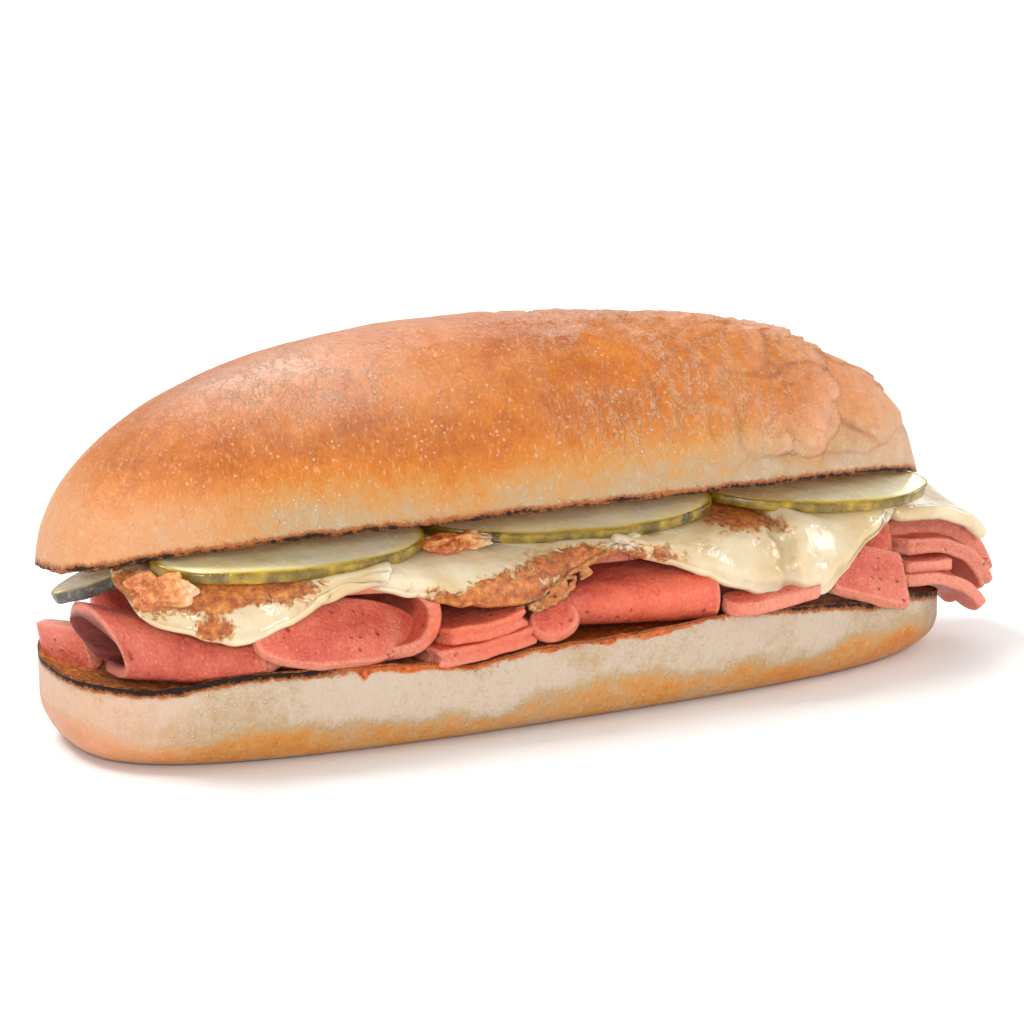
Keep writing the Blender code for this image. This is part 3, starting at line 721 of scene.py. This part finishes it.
# Melted cheese hangs between rails: its lip, its bulge, its shoulder and its back edge, each
# with points in millimetres from the centre of the node's box.
CHEESE_RAILS = {
    "cheese_left": (
        ((-26.9, -15.3, 6.1), (-24.4, -22.3, 1.1), (-19.4, -26.8, -2.2), (-13.9, -29.8, -4.2),
         (-6.9, -31.5, -5), (0.1, -32.3, -4), (8.1, -33.3, 0.2), (17.1, -34.1, 3.8), (28.1, -32.3, 5)),
        ((-27.9, -12.3, 7.9), (-25.9, -19.8, 4.9), (-20.4, -25.8, 2.1), (-14.9, -28.8, 0.6),
         (-6.9, -30.7, 0), (0.1, -31.7, 0.6), (9.1, -32.6, 2.9), (19.1, -32.9, 4.8),
         (29.1, -31.8, 5.8)),
        ((-26.4, -8.3, 9.3), (-23.9, -13.8, 8.8), (-19.9, -19.3, 7.4), (-13.9, -22.3, 6.6),
         (-6.9, -24.8, 6.2), (0.1, -26.3, 6), (10.1, -27.3, 6), (20.1, -28.3, 6.2), (30.1, -28.3, 6.6)),
        ((-22.9, 1.7, 8.6), (-19.9, -1.3, 8.1), (-15.9, -3.3, 7.6), (-10.9, -4.8, 7.6),
         (-4.9, -6.3, 7.6), (1.1, -7.3, 7.6), (10.1, -7.3, 7.6), (20.1, -7.3, 7.6), (28.1, -7.3, 7.6)),
        ((-21.9, 14.7, 7.6), (-17.9, 16.7, 7.6), (-13.9, 17.7, 7.2), (-9.9, 18.3, 7.1),
         (-3.9, 18.7, 7), (2.1, 18.7, 7), (10.1, 18.7, 7), (18.1, 17.7, 7.2), (25.1, 15.7, 7.6)),
        ((-16.9, 24.7, 5.6), (-14.9, 27.7, 3.6), (-11.9, 30.2, 2.1), (-7.9, 32.2, 0.6),
         (-2.9, 33.4, -0.2), (3.1, 33.7, -0.4), (10.1, 33.7, 0), (16.1, 31.7, 2.1), (22.1, 26.7, 5.1)),
    ),
    "cheese_centre": (
        ((-33.5, -33.8, 2.8), (-24.5, -35.3, -0.2), (-17.5, -35.8, -2.9), (-7.5, -36.3, -4.9),
         (2.5, -36.3, -5.5), (10.5, -35.8, -3.4), (17.5, -35.3, 0.1), (26.5, -34.3, 2.8),
         (36.5, -32.3, 3.6)),
        ((-33.5, -33.3, 4.3), (-24.5, -34.8, 2.8), (-17.5, -35.5, 0.8), (-7.5, -36.1, -1.1),
         (2.5, -36.3, -1.7), (10.5, -35.5, -0.3), (17.5, -34.5, 2.1), (26.5, -33.3, 3.7),
         (36.5, -31.3, 4.3)),
        ((-33.5, -28.3, 5.6), (-24.5, -28.3, 5.3), (-17.5, -28.3, 4.6), (-7.5, -28.8, 3.9),
         (2.5, -28.8, 3.5), (10.5, -28.3, 3.7), (17.5, -28.3, 4.3), (26.5, -27.3, 4.8),
         (36.5, -26.3, 5.1)),
        ((-31.5, -8.3, 6.3), (-23.5, -8.3, 6.3), (-15.5, -8.3, 6.3), (-6.5, -8.3, 6.3),
         (3.5, -8.3, 6.3), (11.5, -8.3, 6.3), (18.5, -8.3, 6.3), (26.5, -8.3, 6.3), (33.5, -8.3, 6.3)),
        ((-29.5, 13.7, 6.1), (-22.5, 16.7, 5.9), (-14.5, 18.7, 5.8), (-6.5, 19.7, 5.7),
         (2.5, 19.7, 5.7), (10.5, 18.7, 5.7), (17.5, 16.7, 5.8), (24.5, 14.7, 5.9), (30.5, 12.7, 6.1)),
        ((-26.5, 25.7, 4.3), (-20.5, 29.7, 2.8), (-13.5, 32.7, 1.3), (-6.5, 34.7, 0.3),
         (1.5, 35.7, -0.1), (9.5, 35.2, 0.3), (15.5, 32.7, 1.5), (21.5, 28.7, 3.1), (26.5, 23.7, 4.3)),
    ),
    "cheese_right": (
        ((-45, -33.7, 5.7), (-37.6, -35.7, 4), (-28.7, -36.7, 0.6), (-22, -36.9, -2.7),
         (-16, -37.1, -6.4), (-7, -37.1, -8.4), (2.6, -36.7, -9.8), (10.7, -36.2, -9.4),
         (17, -35.3, -6.3), (24, -33.7, -1.8), (30, -31.7, 1.4), (35, -28.7, 5.4)),
        ((-45, -32.7, 6.6), (-37.6, -34.7, 5.9), (-28.7, -36.2, 3.9), (-22, -36.7, 1.4),
         (-16, -37.3, -1.6), (-7, -37.7, -3.4), (2.6, -37.3, -4.8), (10.7, -36.7, -4.6),
         (18, -35.5, -2.2), (25.5, -33.3, 1.4), (32, -30.3, 4), (37, -26.7, 6.4)),
        ((-45, -26.7, 7.2), (-37.6, -27.2, 7), (-28.7, -27.7, 6.6), (-22, -28.7, 6.2),
         (-16, -29.7, 5.4), (-7, -30.2, 4.8), (2.6, -30.2, 4.4), (10.7, -29.7, 4.4), (18.5, -28.7, 5),
         (26, -26.7, 6), (33, -23.7, 7), (38, -20.7, 7.4)),
        ((-43, -8.7, 8.4), (-36, -8.7, 8.4), (-28, -8.7, 8.4), (-22, -8.7, 8.4), (-16, -8.7, 8.4),
         (-7, -8.7, 8.2), (2, -8.7, 8), (10, -8.7, 7.9), (18, -7.7, 7.8), (25, -6.7, 7.8),
         (31, -5.7, 7.8), (36, -4.7, 7.8)),
        ((-40, 13.3, 8.2), (-34, 15.3, 8), (-27, 17.3, 7.9), (-21, 18.3, 7.8), (-15, 19.3, 7.7),
         (-7, 19.3, 7.7), (2, 19.3, 7.7), (9, 18.8, 7.7), (17, 17.3, 7.7), (23, 15.3, 7.7),
         (29, 13.3, 7.7), (33, 11.3, 7.8)),
        ((-35, 24.3, 6.4), (-30, 27.3, 4.9), (-24, 30.3, 3.4), (-19, 32.3, 2.2), (-13, 33.8, 1),
         (-6, 34.8, 0.4), (1, 35.3, 0.2), (8, 34.3, 0.8), (14, 32.3, 2), (20, 29.3, 3.4),
         (25, 26.3, 4.8), (29, 22.3, 6.4)),
    ),
}
LACE_RAILS = (((-20, -38.2, 36), (-11, -38.2, 38), (-4, -38, 40.5), (4, -37.2, 42)),
              ((-20.5, -39, 31), (-13, -39.8, 29.6), (-5, -39.4, 33), (3, -38, 38)))
LACE_COLUMNS = 84
LACE_ROWS = 32
LACE_THICKNESS = 0.7
FAR_CHEESE = Slice("cheese_far_right", [(12, 0), (26, -60)], 28, roll=12, roundness=0.7, ragged=1.5)

PICKLES = (
    Slice("pickle_far_left", [(23, -8)], 13, turn=-50, pitch=24, roll=14, roundness=0.9, ragged=1.4,
          nudge=(0.5, -2.5, -1.5)),
    Slice("pickle_left", [(66, 4)], 25, pitch=-2, roll=10.5, roundness=0.9, ragged=0.3),
    Slice("pickle_centre", [(76, 5)], 27, turn=-8, pitch=-3, roll=13, roundness=1, ragged=0.3),
    Slice("pickle_right", [(62, 4)], 25, turn=-8, pitch=-5, roll=11, roundness=1, ragged=0.3),
)

# The slice rolled up at the left: places along its axis, each with the middle of the roll, its
# half-width and half-height, and how far its open end leans back from front to rear.
ROLL_STATIONS = (((-112.5, -16.5, 30.4), 8.6, 6.8), ((-102, -21, 28.6), 8.2, 6.2),
                 ((-91, -25, 27), 7.8, 5.2), ((-78, -28.5, 26), 6.8, 3.8))
ROLL_START = math.radians(235)
ROLL_END = math.radians(-105)
ROLL_TIGHTENING = 0.1
ROLL_LEAN = 5.5

# Look of a kind of slice: thickness, bulge and squareness of its cut edge, waves of its
# surface, thickening towards its edge, and depth of the groove where its edge shows two layers.
Kind = namedtuple("Kind", "thickness bulge square waves lip groove")
SALAMI_KIND = Kind(3.2, 0.5, 0.5, 0.5, 0, 0)
STRIP_KIND = Kind(4.2, 0.7, 0.7, 0.7, 0, 1.3)
CHEESE_KIND = Kind(2.6, 1.3, 1.0, 0.7, 0.5, 0)
PICKLE_KIND = Kind(2.7, 0.5, 0.7, 0.25, 0, 0)
GRID_STEP = 0.75
STACKED = ("salami_strip_lower", "salami_strip_upper", "salami_end_top", "salami_end_middle",
           "salami_end_hanging")
CHEESE_STEPS = {"cheese_right": 2.2}
STEP_PLACE = 0.1
RIM_ANGLES = (60, 30, 0, -30, -60)


def fold_path(fold, steps=160):
    """Way along a fold, its points and its heading, run on straight past both ends."""
    lengths = np.array([length for length, turn in fold], float)
    turns = np.radians([turn for length, turn in fold])
    ends = np.concatenate(([0], np.cumsum(lengths)))
    spare = 0.2 * ends[-1]
    way = np.linspace(-spare, ends[-1] + spare, steps + 1)
    heading = np.interp(way, ends, np.concatenate(([0], np.cumsum(turns))))
    middle = (heading[1:] + heading[:-1]) / 2
    step = way[1] - way[0]
    along = np.concatenate(([0], np.cumsum(np.cos(middle) * step)))
    up = np.concatenate(([0], np.cumsum(np.sin(middle) * step)))
    return way, along, up, heading


def slice_sheet(piece, columns, rows, ragged, seed):
    """Middle surface of a slice, its normals, and its flat places: x, y and edge distance."""
    s, t = grid(columns, rows)
    length = sum(size for size, turn in piece.fold)
    u = s * np.sqrt(1 - piece.roundness * t * t / 2)
    v = t * np.sqrt(1 - piece.roundness * s * s / 2)
    reach = np.maximum(np.abs(s), np.abs(t))
    outward = np.stack((u * length / 2, v * piece.width / 2, 0 * u), axis=-1)
    around = unit(outward) * (length + piece.width) / 4
    grow = 0.6 * noise(around, 9, seed) + 0.4 * rough_noise(around, 3, 3, seed + 1)
    outward = outward + unit(outward) * (ragged * grow * reach ** 4)[..., None]
    place = outward[..., 0] + length / 2
    v = outward[..., 1] / (piece.width / 2)
    way, along, up, heading = fold_path(piece.fold)
    x, z, turned = (np.interp(place, way, values) for values in (along, up, heading))
    inside = (way >= 0) & (way <= length)
    middle = [(values[inside].min() + values[inside].max()) / 2 for values in (along, up)]
    x = middle[0] + (x - middle[0]) * (1 + piece.taper * v)
    z = middle[1] + (z - middle[1]) * (1 + piece.taper * v)
    y = v * piece.width / 2 + (x - middle[0]) * math.tan(math.radians(piece.slant))
    points = np.stack((x, y, z), axis=-1)
    normals = np.stack((-np.sin(turned), 0 * turned, np.cos(turned)), axis=-1)
    turn = np.array((Matrix.Rotation(math.radians(piece.turn), 3, "Z")
                     @ Matrix.Rotation(math.radians(-piece.pitch), 3, "Y")
                     @ Matrix.Rotation(math.radians(piece.roll), 3, "X")))
    edge = np.minimum((1 - np.abs(s)) * length / 2, (1 - np.abs(t)) * piece.width / 2)
    flat = np.stack((outward[..., 0], outward[..., 1], edge), axis=-1)
    return points @ turn.T, normals @ turn.T, flat


def slice_parts(piece, kind, seed):
    """Points of a slice in millimetres: top, bottom and rings, with its flat places."""
    length = sum(size for size, turn in piece.fold)
    columns = max(12, int(length / GRID_STEP))
    rows = max(10, int(piece.width / GRID_STEP))
    plain, plain_normals, flat = slice_sheet(piece, columns, rows, 0, seed)
    low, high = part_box(piece.name)
    centre = np.array((low + high) / 2) / MM + np.array(piece.nudge)
    shift = centre - (plain.reshape(-1, 3).min(0) + plain.reshape(-1, 3).max(0)) / 2
    points, normals, flat = slice_sheet(piece, columns, rows, piece.ragged, seed)
    return thicken(points + shift, normals, flat, kind, seed)


def thicken(points, normals, flat, kind, seed):
    """Top, bottom and rings of a sheet in millimetres, with its flat places and border."""
    waves = kind.waves * (0.6 * noise(points, 11, seed + 3) + 0.4 * noise(points, 4.5, seed + 4))
    points = points + normals * waves[..., None]
    half = kind.thickness / 2 * (1 + kind.lip * bell(flat[..., 2], 0, 3.5))
    half = half * (1 + 0.12 * noise(points, 7, seed + 5))
    top = points + normals * half[..., None]
    bottom = points - normals * half[..., None]
    edge = border(points.shape[1], points.shape[0])
    rim_points = points.reshape(-1, 3)[edge]
    rim_normals = normals.reshape(-1, 3)[edge]
    rim_half = half.reshape(-1)[edge][:, None]
    tangent = unit(np.roll(rim_points, -2, axis=0) - np.roll(rim_points, 2, axis=0))
    outward = unit(np.cross(tangent, rim_normals))
    rings = []
    for angle in RIM_ANGLES:
        swing = math.radians(angle)
        out = kind.bulge * math.cos(swing) ** kind.square - (0 if angle else kind.groove)
        rise_by = math.copysign(abs(math.sin(swing)) ** kind.square, swing)
        rings.append(rim_points + outward * out + rim_normals * rim_half * rise_by)
    return top, bottom, rings, flat, edge


def spline(values, count):
    """Smooth curve through control points, read at evenly spaced places."""
    values = np.asarray(values, float)
    ahead = 2 * values[:1] - values[1:2]
    behind = 2 * values[-1:] - values[-2:-1]
    padded = np.concatenate((ahead, values, behind))
    place = np.linspace(0, len(values) - 1, count)
    index = np.minimum(place.astype(int), len(values) - 2)
    part = (place - index).reshape(-1, *[1] * (values.ndim - 1))
    a, b, c, d = (padded[index + step] for step in range(4))
    return 0.5 * (2 * b + (c - a) * part + (2 * a - 5 * b + 4 * c - d) * part ** 2
                  + (3 * b - a - 3 * c + d) * part ** 3)


def roll_rails(node):
    """Rails of the rolled slice: from its inner edge, round the back and top, to its front."""
    low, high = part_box(node)
    centre = np.array((low + high) / 2) / MM
    middles = np.array([middle for middle, wide, high in ROLL_STATIONS], float)
    sizes = np.array([(wide, high) for middle, wide, high in ROLL_STATIONS])
    axis = unit(middles[-1] - middles[0])
    front = unit(np.array((axis[1], -axis[0], 0)))
    rails = []
    for turn in np.linspace(ROLL_START, ROLL_END, 15):
        inner = 1 - ROLL_TIGHTENING * (turn - ROLL_END) / (ROLL_START - ROLL_END)
        out = math.cos(turn) * inner
        up = math.sin(turn) * inner
        rail = middles + sizes[:, :1] * out * front + sizes[:, 1:] * up * np.array((0, 0, 1))
        lean = np.linspace(1, 0, len(rail))[:, None]
        rails.append(rail + axis * ROLL_LEAN * (out - 0.6 * up) * lean)
    return np.array(rails) - centre


def drape_parts(node, rails, kind, seed, ragged, step=0):
    """A sheet of melted cheese that hangs between rails, the first of them its lip.

    Rails are rows of points in millimetres from the centre of the node's box. Step is the height
    of a fold that crosses the sheet from lip to back.
    """
    low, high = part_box(node)
    centre = np.array((low + high) / 2) / MM
    rails = np.asarray(rails, float)
    length = np.linalg.norm(np.diff(rails[0], axis=0), axis=1).sum()
    height = np.linalg.norm(np.diff(rails[:, rails.shape[1] // 2], axis=0), axis=1).sum()
    columns, rows = int(length / GRID_STEP), int(height / GRID_STEP)
    points = spline(rails, rows)
    points = spline(points.swapaxes(0, 1), columns).swapaxes(0, 1) + centre
    s, t = grid(columns, rows)
    near_lip = rise(t, -0.3, -1)
    level = np.stack((points[..., 0], 0 * s, 0 * s), axis=-1)
    drip = ragged * (0.7 * noise(level, 8, seed) + 0.5 * noise(level, 3.2, seed + 1))
    points[..., 2] += drip * near_lip
    edge = np.minimum((1 - np.abs(s)) * length / 2, (1 - np.abs(t)) * height / 2)
    flat = np.stack((s * length / 2, t * height / 2, edge), axis=-1)
    normals = grid_normals(points)
    fold = STEP_PLACE * length / 2 + 1.5 * noise(level * 0 + t[..., None] * height / 2, 6, seed)
    away = s * length / 2 - fold
    ridge = rise(away, -0.9, 0) * rise(away, 14, 1) - 0.6 * bell(away, -2.2, 1.6)
    points = points + normals * (step * ridge)[..., None]
    return thicken(points, normals, flat, kind, seed)


def slice_marks(top, bottom, rings, flat, edge, kind, extra):
    """Marks that every slice carries: its flat place, its rim and the distance from it."""
    side = kind.thickness / 2
    sheet_top = np.stack((flat[..., 0], flat[..., 1], side + 0 * flat[..., 0]), axis=-1)
    sheet_bottom = sheet_top * np.array((1, 1, -1))
    ring_flat = flat.reshape(-1, 3)[edge]
    sheet_rings = []
    for angle in RIM_ANGLES:
        level = side * math.sin(math.radians(angle)) + 0 * edge
        sheet_rings.append(np.stack((ring_flat[:, 0], ring_flat[:, 1], level), axis=-1) * MM)
    near = flat[..., 2] * MM
    soft_rim = 0.75 * rise(flat[..., 2], 0.9, 0)
    marks = {
        "sheet": (sheet_top * MM, sheet_bottom * MM, sheet_rings),
        "rim": (soft_rim, soft_rim, [1 + 0.0 * edge] * len(rings)),
        "near": (near, near, [0.0 * edge] * len(rings)),
    }
    for name, paint in extra.items():
        marks[name] = (paint(top, flat, 1), paint(bottom, flat, -1),
                       [paint(ring, ring_flat, 0) for ring in rings])
    return marks


def make_sheet(node, parts, kind, material, extra):
    """The closed piece of a node from its sheet's parts."""
    top, bottom, rings, flat, edge = parts
    marks = slice_marks(top, bottom, rings, flat, edge, kind, extra)
    mesh = closed_mesh(node, top * MM, bottom * MM, [ring * MM for ring in rings], marks)
    return add_piece(node + "_food", mesh, material, node)


def wetness(points, flat, side):
    """Grease on the salami near the cut edges at the front of the middle."""
    x, y, z = np.moveaxis(points, -1, 0)
    front = rise(-y, 24, 38)
    return front * (1.0 * patch(x, z, (-27, 27), (16, 8)) + 0.8 * patch(x, z, (18, 28), (22, 9))
                    + 0.6 * rise(x, 92, 104) + 0.3 * rise(noise(points, 6, 51), 0.1, 0.6))


def inner_shade(points, flat, side):
    """Painted shade on the rolled slice: much darker on its inside, a little darker all over."""
    x, y, z = np.moveaxis(points, -1, 0)
    places = np.array([middle for middle, wide, high in ROLL_STATIONS])
    sizes = np.array([(wide, high) for middle, wide, high in ROLL_STATIONS])
    across = (y - np.interp(x, places[:, 0], places[:, 1])) / np.interp(x, places[:, 0], sizes[:, 0])
    up = (z - np.interp(x, places[:, 0], places[:, 2])) / np.interp(x, places[:, 0], sizes[:, 1])
    return 0.2 + 0.75 * rise(np.hypot(across, up), 1.05, 0.9)


def fried(points, flat, side):
    """Fried crust on the cheese: patches near the lips and under the lid."""
    x, y, z = np.moveaxis(points, -1, 0)
    left = 1.0 * patch(x, z, (-103, 43.5), (10, 5)) + 0.9 * patch(x, z, (-91, 42), (9, 3.2))
    left += 0.9 * patch(x, z, (-92.5, 34.8), (5, 2.8)) + 1.0 * patch(x, z, (-76, 42.3), (9, 3))
    centre = 1.2 * patch(x, z, (-27, 35), (17, 4)) + 1.0 * patch(x, z, (-2, 40.5), (13, 3.2))
    right = 1.0 * patch(x, z, (45, 44.5), (9, 2.6)) + 0.8 * patch(x, z, (53, 41.5), (5, 2.4))
    right += 0.6 * patch(x, z, (19, 39.5), (9, 3))
    front = (left + centre + right) * rise(-y, 8, 20)
    back = 0.7 * rise(y, 15, 30) * rise(noise(points, 14, 62), 0.0, 0.5)
    return (front + back) * (1.05 + 0.5 * noise(points, 6, 61))


def dull_skin(points, flat, side):
    """Grey wrinkled skin on the outside of the far left gherkin."""
    return rise(points[..., 0], -102, -104) * (side >= 0)


def make_crisp(name, material, seed):
    """A crumpled lump that fills its node's box."""
    low, high = (np.array(corner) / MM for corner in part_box(name))
    columns, rows = 90, 45
    share, reach = disc(columns, rows)
    angle = share * 2 * math.pi
    flat = np.stack((np.cos(angle) * reach, np.sin(angle) * reach), axis=-1)
    level = np.sqrt(np.maximum(0, 1 - reach ** 2))
    centre = (low + high) / 2
    size = (high - low) / 2
    halves = []
    for side in (1, -1):
        ball = np.stack((flat[..., 0], flat[..., 1], side * level), axis=-1)
        lumps = 0.5 * noise(ball, 0.9, seed) + 0.3 * np.abs(noise(ball, 0.5, seed + 1))
        lumps += 0.15 * rough_noise(ball, 0.25, 3, seed + 2) - 0.35 * bell(ball[..., 0], 0.05, 0.22)
        halves.append(centre + ball * (0.9 + lumps)[..., None] * size)
    edge = border(columns, rows)
    pale = [0.6 * rise(half[..., 0], centre[0], centre[0] + size[0]) for half in halves]
    mesh = closed_mesh(name, halves[0] * MM, halves[1] * MM, [],
                       {"pale": (pale[0], pale[1], [])})
    return add_piece(name + "_food", mesh, material, name)


def web_faces(solid):
    """Faces of a plate with holes: top, bottom and walls round every cell that is solid."""
    rows, columns = (size + 1 for size in solid.shape)
    index = np.arange(rows * columns).reshape(rows, columns)
    cells = np.stack((index[:-1, :-1], index[:-1, 1:], index[1:, 1:], index[1:, :-1]), axis=-1)
    framed = np.pad(solid, 1)
    beside = (framed[:-2, 1:-1], framed[1:-1, 2:], framed[2:, 1:-1], framed[1:-1, :-2])
    faces = [cells[solid], cells[solid][:, ::-1] + index.size]
    for side, other in enumerate(beside):
        wall = cells[solid & ~other]
        first, second = wall[:, side], wall[:, (side + 1) % 4]
        faces.append(np.stack((second, first, first + index.size, second + index.size), axis=1))
    return np.concatenate(faces)


def make_lace(material):
    """A thin web of fried cheese, full of holes, between the middle sheet and the salami."""
    points = spline(spline(LACE_RAILS, LACE_ROWS).swapaxes(0, 1), LACE_COLUMNS).swapaxes(0, 1)
    points[..., 1] -= 0.9 * rough_noise(points, 4, 3, 71)
    s, t = grid(LACE_COLUMNS, LACE_ROWS)
    fray = rough_noise(points, 1.9, 3, 72) + 0.8 * rise(np.maximum(np.abs(s), t), 0.7, 1)
    solid = fray[:-1, :-1] < 0.14
    for _ in range(4):
        a, b, c, d = solid[:-1, :-1], solid[:-1, 1:], solid[1:, :-1], solid[1:, 1:]
        falling, rising = a & d & ~b & ~c, b & c & ~a & ~d
        b |= falling
        a |= rising
    half = grid_normals(points) * LACE_THICKNESS / 2
    both = np.concatenate(((points + half).reshape(-1, 3), (points - half).reshape(-1, 3))) * MM
    used, faces = np.unique(web_faces(solid), return_inverse=True)
    mesh = bpy.data.meshes.new("cheese_lace")
    mesh.from_pydata(both[used].tolist(), [], faces.reshape(-1, 4).tolist())
    add_mark(mesh, "fried", [np.full(len(used), 0.75)])
    mesh.shade_smooth()
    return add_piece("cheese_lace_food", mesh, material, None)


# Camera, lights and floor

CAMERA_TURN = math.radians(-27)
CAMERA_RISE = math.radians(13.5)
CAMERA_DISTANCE = 0.7
CAMERA_TARGET = Vector((0, 0, 0.044))


def add_camera():
    lens = bpy.data.cameras.new("camera")
    lens.lens = 100
    camera = bpy.data.objects.new("camera", lens)
    bpy.context.scene.collection.objects.link(camera)
    away = Vector((math.sin(CAMERA_TURN) * math.cos(CAMERA_RISE),
                   -math.cos(CAMERA_TURN) * math.cos(CAMERA_RISE), math.sin(CAMERA_RISE)))
    camera.location = CAMERA_TARGET + away * CAMERA_DISTANCE
    camera.rotation_euler = (-away).to_track_quat("-Z", "Y").to_euler()
    bpy.context.scene.camera = camera


def add_light(name, place, size, power, colour, target=CAMERA_TARGET):
    """A square soft light that looks at the sandwich, or at another place."""
    lamp = bpy.data.lights.new(name, "AREA")
    lamp.size = size
    lamp.energy = power
    lamp.color = colour
    light = bpy.data.objects.new(name, lamp)
    light.location = place
    light.rotation_euler = (target - Vector(place)).to_track_quat("-Z", "Y").to_euler()
    bpy.context.scene.collection.objects.link(light)


def add_floor():
    side, level = 6, min(CAD_BOUNDS[0][2], 0)
    corners = [(-side, -side, level), (side, -side, level), (side, side, level), (-side, side, level)]
    mesh = bpy.data.meshes.new("floor")
    mesh.from_pydata(corners, [], [(0, 1, 2, 3)])
    floor = bpy.data.objects.new("floor", mesh)
    bpy.context.scene.collection.objects.link(floor)
    s = Shader("floor")
    mesh.materials.append(s.finish(s.colours(s.noise(0.3, 2), (0, (0.84,) * 3), (1, (0.88,) * 3)), 0.6,
                                   s.bump(s.noise(0.002), 0.00002)))


def add_world():
    world = bpy.data.worlds.new("studio")
    world.use_nodes = True
    background = world.node_tree.nodes["Background"]
    background.inputs["Color"].default_value = (1.0, 0.99, 0.98, 1)
    background.inputs["Strength"].default_value = 0.6
    bpy.context.scene.world = world
    bpy.context.scene.view_settings.view_transform = "Standard"


def build():
    crust = crust_material()
    salami = salami_material()
    cheese = cheese_material()
    pickle = pickle_material()
    crisp = crisp_material()
    make_heel(crust)
    make_lid(crust)
    for number, piece in enumerate(SALAMI):
        kind = STRIP_KIND if piece.name in STACKED else SALAMI_KIND
        parts = slice_parts(piece, kind, 100 + 10 * number)
        make_sheet(piece.name, parts, kind, salami, {"wet": wetness})
    node = "salami_roll_left"
    parts = drape_parts(node, roll_rails(node), SALAMI_KIND, 300, 0)
    make_sheet(node, parts, SALAMI_KIND, salami, {"wet": wetness, "shade": inner_shade})
    for number, (node, rails) in enumerate(CHEESE_RAILS.items()):
        parts = drape_parts(node, rails, CHEESE_KIND, 400 + 10 * number, 1.3, CHEESE_STEPS.get(node, 0))
        make_sheet(node, parts, CHEESE_KIND, cheese, {"fried": fried})
    parts = slice_parts(FAR_CHEESE, CHEESE_KIND, 450)
    make_sheet(FAR_CHEESE.name, parts, CHEESE_KIND, cheese, {"fried": fried})
    for number, piece in enumerate(PICKLES):
        parts = slice_parts(piece, PICKLE_KIND, 500 + 10 * number)
        make_sheet(piece.name, parts, PICKLE_KIND, pickle, {"dull": dull_skin})
    make_lace(cheese)
    make_crisp("crisp_left", crisp, 601)
    make_crisp("crisp_centre", crisp, 602)
    add_camera()
    add_light("key", (-0.8, 0.5, 1.8), 0.75, 28, (1.0, 0.98, 0.97))
    add_light("front", (-0.9, -1.95, 0.85), 0.8, 29, (1.0, 0.98, 0.96))
    add_light("right", (1.9, -0.3, 0.8), 0.8, 15, (1.0, 0.97, 0.95))
    add_light("backdrop", (1.3, 2.7, 1.5), 2.2, 48, (1, 1, 1), Vector((1.3, 2.7, 0)))
    add_floor()
    add_world()


build()
